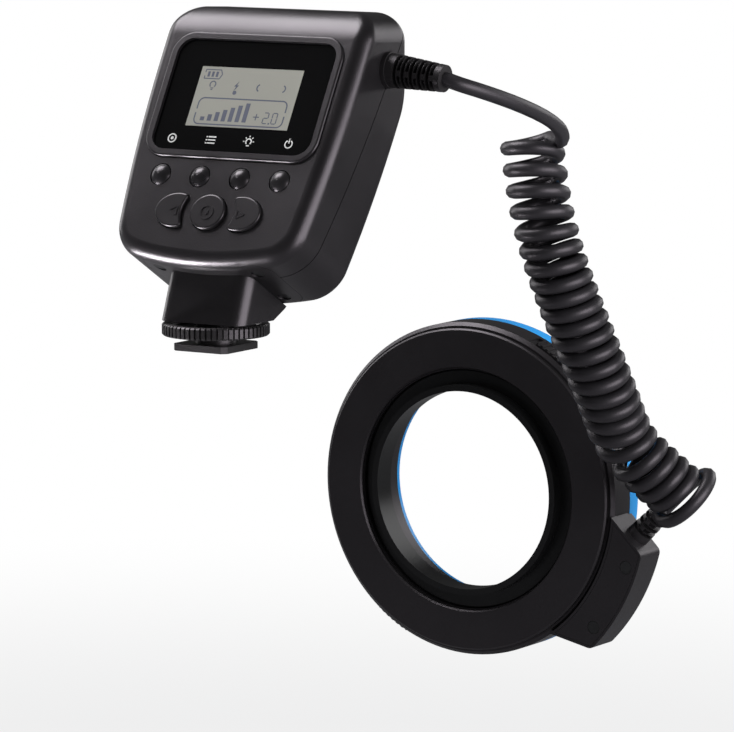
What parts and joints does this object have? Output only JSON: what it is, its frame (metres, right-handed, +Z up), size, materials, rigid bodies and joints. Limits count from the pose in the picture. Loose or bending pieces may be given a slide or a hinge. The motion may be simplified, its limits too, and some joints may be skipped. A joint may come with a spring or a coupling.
{
  "type": "ring flash",
  "caption": "Macro ring flash: shoe-mounted controller with display and buttons, curly cord, and a lamp ring with a pull-off diffuser on a lens adapter ring.",
  "frame": {"origin": "centre of the shoe foot's underside", "axes": "+Z up, +Y the way the lens looks, +X to the viewer's right"},
  "size_m": [0.1442, 0.1746, 0.21],
  "materials": {
    "black_plastic": "fine matte moulding",
    "wheel_plastic": "satin moulding",
    "button_plastic": "satin moulding",
    "display_gloss": "polished",
    "display_module": "liquid crystal panel",
    "blue_plastic": "translucent blue",
    "clear_plastic": "clear moulding",
    "white_plastic": "white moulding",
    "board": "solder mask",
    "components": "moulded",
    "lamps": "phosphor",
    "soft_rubber": "satin",
    "cord_jacket": "satin jacket",
    "foot_metal": "black satin",
    "contact_metal": "plated",
    "screw_steel": "machined",
    "adapter_metal": "black anodised",
    "cell_wrap": "plain sleeve"
  },
  "bodies": {
    "controller": {"adapter_ring": "adapter_metal", "back_shell": "black_plastic", "battery_1": "cell_wrap", "battery_2": "cell_wrap", "battery_3": "cell_wrap", "battery_4": "cell_wrap", "battery_contacts": "contact_metal", "board_parts": "components", "cord_coil": "cord_jacket", "cord_grommet": "soft_rubber", "cord_tail": "cord_jacket", "display_module": "display_module", "display_window": "display_gloss", "front_shell": "black_plastic", "keypad": "soft_rubber", "main_board": "board", "neck_bracket": "black_plastic", "neck_screws": "screw_steel", "shell_screws": "screw_steel", "shoe_foot": "foot_metal"},
    "ring_head": {"ring_housing": "black_plastic", "ring_back_plate": "black_plastic", "lamp_board_left": "board", "lamp_board_right": "board", "lamps_left": "lamps", "lamps_right": "lamps", "reflector": "white_plastic", "front_window": "clear_plastic", "junction_box": "black_plastic", "box_cover": "black_plastic", "box_screws": "screw_steel", "driver_board": "board", "box_relief": "soft_rubber", "latch_spring_upper": "screw_steel", "latch_spring_lower": "screw_steel"},
    "clamp_washer": {"clamp_washer": "foot_metal"},
    "lock_wheel": {"lock_wheel": "wheel_plastic"},
    "shoe_contacts": {"shoe_contacts": "contact_metal"},
    "battery_door": {"battery_door": "black_plastic"},
    "latch_upper": {"latch_upper": "black_plastic"},
    "latch_lower": {"latch_lower": "black_plastic"},
    "blue_diffuser": {"blue_diffuser": "blue_plastic"},
    "round_button_1": {"round_button_1": "button_plastic"},
    "round_button_2": {"round_button_2": "button_plastic"},
    "round_button_3": {"round_button_3": "button_plastic"},
    "round_button_4": {"round_button_4": "button_plastic"},
    "left_button": {"left_button": "button_plastic"},
    "set_button": {"set_button": "button_plastic"},
    "right_button": {"right_button": "button_plastic"}
  },
  "joints": [
    {"name": "washer_slide", "type": "slide", "parent": "controller", "child": "clamp_washer", "axis": [0, 0, 1], "range_m": [-0.00021, 0.00046]},
    {"name": "wheel_turn", "type": "hinge", "parent": "clamp_washer", "child": "lock_wheel", "pos_m": [0, 0, 0.006], "axis": [0, 0, 1], "range_deg": [-90, 200]},
    {"name": "contacts_press", "type": "slide", "parent": "controller", "child": "shoe_contacts", "axis": [0, 0, 1], "range_m": [0, 0.0004], "stiffness_N_per_m": 400, "springref_m": -0.0004},
    {"name": "door_slide", "type": "slide", "parent": "controller", "child": "battery_door", "axis": [0, 0.4945, 0.8691], "range_m": [0, 0.055]},
    {"name": "ring_turn", "type": "hinge", "parent": "controller", "child": "ring_head", "pos_m": [0, 0.145, -0.0603], "axis": [0, 1, 0], "range_deg": [-45, 45], "deforming": ["cord_coil"]},
    {"name": "upper_latch_press", "type": "slide", "parent": "ring_head", "child": "latch_upper", "axis": [-0.5446, 0, -0.8387], "range_m": [0, 0.0015], "stiffness_N_per_m": 500, "springref_m": -0.001, "deforming": ["latch_spring_upper"]},
    {"name": "lower_latch_press", "type": "slide", "parent": "ring_head", "child": "latch_lower", "axis": [0.5446, 0, 0.8387], "range_m": [0, 0.0015], "stiffness_N_per_m": 500, "springref_m": -0.001, "deforming": ["latch_spring_lower"]},
    {"name": "diffuser_pull", "type": "slide", "parent": "ring_head", "child": "blue_diffuser", "axis": [0, 1, 0], "range_m": [0, 0.02]},
    {"name": "round_button_1_press", "type": "slide", "parent": "controller", "child": "round_button_1", "axis": [0, 0.8691, -0.4945], "range_m": [0, 0.0008], "stiffness_N_per_m": 700, "springref_m": -0.0005},
    {"name": "round_button_2_press", "type": "slide", "parent": "controller", "child": "round_button_2", "axis": [0, 0.8691, -0.4945], "range_m": [0, 0.0008], "stiffness_N_per_m": 700, "springref_m": -0.0005},
    {"name": "round_button_3_press", "type": "slide", "parent": "controller", "child": "round_button_3", "axis": [0, 0.8691, -0.4945], "range_m": [0, 0.0008], "stiffness_N_per_m": 700, "springref_m": -0.0005},
    {"name": "round_button_4_press", "type": "slide", "parent": "controller", "child": "round_button_4", "axis": [0, 0.8691, -0.4945], "range_m": [0, 0.0008], "stiffness_N_per_m": 700, "springref_m": -0.0005},
    {"name": "left_button_press", "type": "slide", "parent": "controller", "child": "left_button", "axis": [0, 0.8691, -0.4945], "range_m": [0, 0.0008], "stiffness_N_per_m": 700, "springref_m": -0.0005},
    {"name": "set_button_press", "type": "slide", "parent": "controller", "child": "set_button", "axis": [0, 0.8691, -0.4945], "range_m": [0, 0.0008], "stiffness_N_per_m": 700, "springref_m": -0.0005},
    {"name": "right_button_press", "type": "slide", "parent": "controller", "child": "right_button", "axis": [0, 0.8691, -0.4945], "range_m": [0, 0.0008], "stiffness_N_per_m": 700, "springref_m": -0.0005}
  ],
  "couplings": [
    {"joint": "washer_slide", "follows": "wheel_turn", "m_per_rad": 0.00012732}
  ]
}
